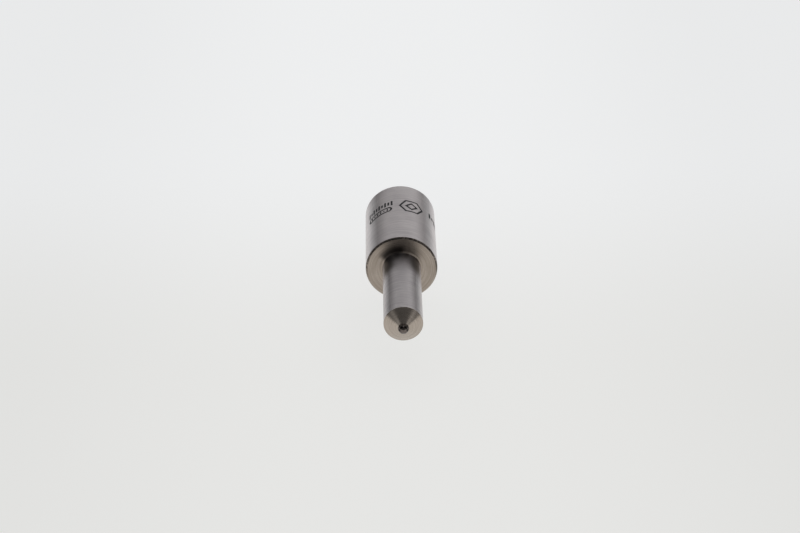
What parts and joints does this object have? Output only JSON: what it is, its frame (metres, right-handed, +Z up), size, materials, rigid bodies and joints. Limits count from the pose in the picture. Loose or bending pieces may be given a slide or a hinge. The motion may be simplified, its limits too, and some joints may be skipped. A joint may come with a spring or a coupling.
{
  "type": "fuel injector nozzle",
  "caption": "Hole-type diesel injector nozzle: a stepped round steel body with a flat-cone end and a small drilled dome, holding a sliding needle valve.",
  "frame": {"origin": "centre of the lapped sealing face, on the nozzle's axis", "axes": "+Y out of the sealing face along the nozzle's axis, -Y towards the spray tip, +Z up with the nozzle lying on its collar, +X to the right for a viewer who faces the spray tip"},
  "size_m": [0.017, 0.0566, 0.017],
  "materials": {
    "ground_steel": "fine-turned and ground, satin",
    "lapped_steel": "lapped, bright"
  },
  "bodies": {
    "body": {"nozzle_body": "ground_steel"},
    "needle": {"needle": "lapped_steel"}
  },
  "joints": [
    {"name": "needle_slide", "type": "slide", "parent": "body", "child": "needle", "axis": [0, 1, 0], "range_m": [0, 0.054]}
  ]
}
